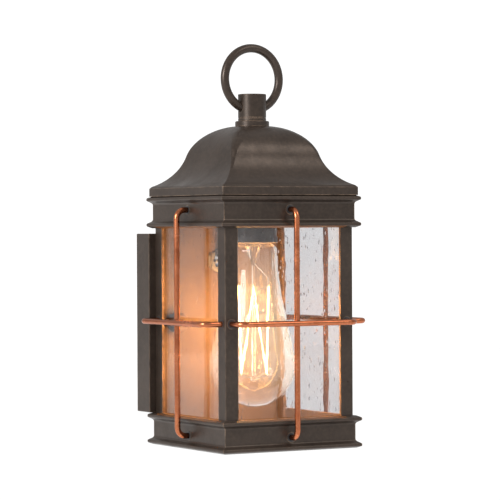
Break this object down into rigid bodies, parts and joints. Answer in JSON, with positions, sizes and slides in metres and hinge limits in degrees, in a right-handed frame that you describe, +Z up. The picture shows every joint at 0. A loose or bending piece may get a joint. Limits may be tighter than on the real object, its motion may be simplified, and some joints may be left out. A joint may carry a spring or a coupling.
{
  "type": "outdoor wall lantern",
  "caption": "Square wall lantern: ogee roof with a ring finial, seeded glass sides crossed by copper guard rods, filament lamp hanging from the top, box backplate.",
  "frame": {"origin": "centre of the mounting bar's box-screw slots, on the wall plane", "axes": "+Y into the wall, +Z up, the lantern stands out towards -Y"},
  "size_m": [0.1334, 0.1366, 0.2827],
  "materials": {
    "bronze_paint": "dark oil-rubbed bronze paint, satin, worn pale on the edges",
    "copper": "bare copper, satin, darker at the bends",
    "seeded_glass": "clear seeded glass with small bubbles and faint draw lines",
    "zinc_steel": "zinc-plated steel",
    "gasket_rubber": "closed-cell rubber",
    "fibre": "vulcanised fibre",
    "black_plastic": "moulded nylon",
    "green_screw": "green-passivated steel",
    "bare_copper": "bare copper wire",
    "lead_black": "insulated wire",
    "lead_white": "insulated wire",
    "connector_plastic": "ribbed moulded plastic",
    "holder_body": "dark moulded phenolic",
    "contact_brass": "rolled brass",
    "black_glass": "black insulating glass",
    "solder": "solder",
    "lamp_glass": "clear blown glass",
    "support_wire": "drawn wire",
    "filament_glow": "glowing tungsten"
  },
  "bodies": {
    "lantern": {"back_panel": "bronze_paint", "backplate": "bronze_paint", "bridge_screws": "zinc_steel", "cap_nuts": "bronze_paint", "earth_lead": "bare_copper", "earth_screw": "green_screw", "earth_tag": "zinc_steel", "finial_collar": "bronze_paint", "finial_nut": "zinc_steel", "finial_ring": "bronze_paint", "finial_stem": "bronze_paint", "finial_washer": "zinc_steel", "level_rod_front": "copper", "level_rod_left": "copper", "level_rod_right": "copper", "live_lead": "lead_black", "lower_band": "bronze_paint", "mounting_bar": "zinc_steel", "mounting_studs": "zinc_steel", "neutral_lead": "lead_white", "nipple_nut": "zinc_steel", "pane_clips": "zinc_steel", "pane_front": "seeded_glass", "pane_left": "seeded_glass", "pane_right": "seeded_glass", "post_back_left": "bronze_paint", "post_back_right": "bronze_paint", "post_front_left": "bronze_paint", "post_front_right": "bronze_paint", "rod_bushings": "black_plastic", "roof_cap": "bronze_paint", "roof_screws": "zinc_steel", "socket_body": "holder_body", "socket_bridge": "zinc_steel", "socket_contact": "contact_brass", "socket_nipple": "zinc_steel", "socket_screw_shell": "contact_brass", "stud_lock_nuts": "zinc_steel", "stud_spacers": "fibre", "upper_band": "bronze_paint", "upright_rod_front": "copper", "upright_rod_left": "copper", "upright_rod_right": "copper", "wall_gasket": "gasket_rubber", "wire_bushing": "black_plastic", "wire_connectors": "connector_plastic"},
    "lamp_tip": {"lamp_contact": "solder"},
    "lamp": {"lamp_cap": "contact_brass", "lamp_insulator": "black_glass", "lamp_glass": "lamp_glass", "lamp_stem": "lamp_glass", "lamp_supports": "support_wire", "lamp_filament": "filament_glow"}
  },
  "joints": [
    {"name": "lamp_travel", "type": "slide", "parent": "lantern", "child": "lamp_tip", "axis": [0, 0, -1], "range_m": [0, 0.01815]},
    {"name": "lamp_turn", "type": "hinge", "parent": "lamp_tip", "child": "lamp", "pos_m": [0, -0.06997, 0], "axis": [0, 0, -1], "range_deg": [0, 1800]}
  ],
  "couplings": [
    {"joint": "lamp_travel", "follows": "lamp_turn", "m_per_rad": 0.00057757}
  ]
}
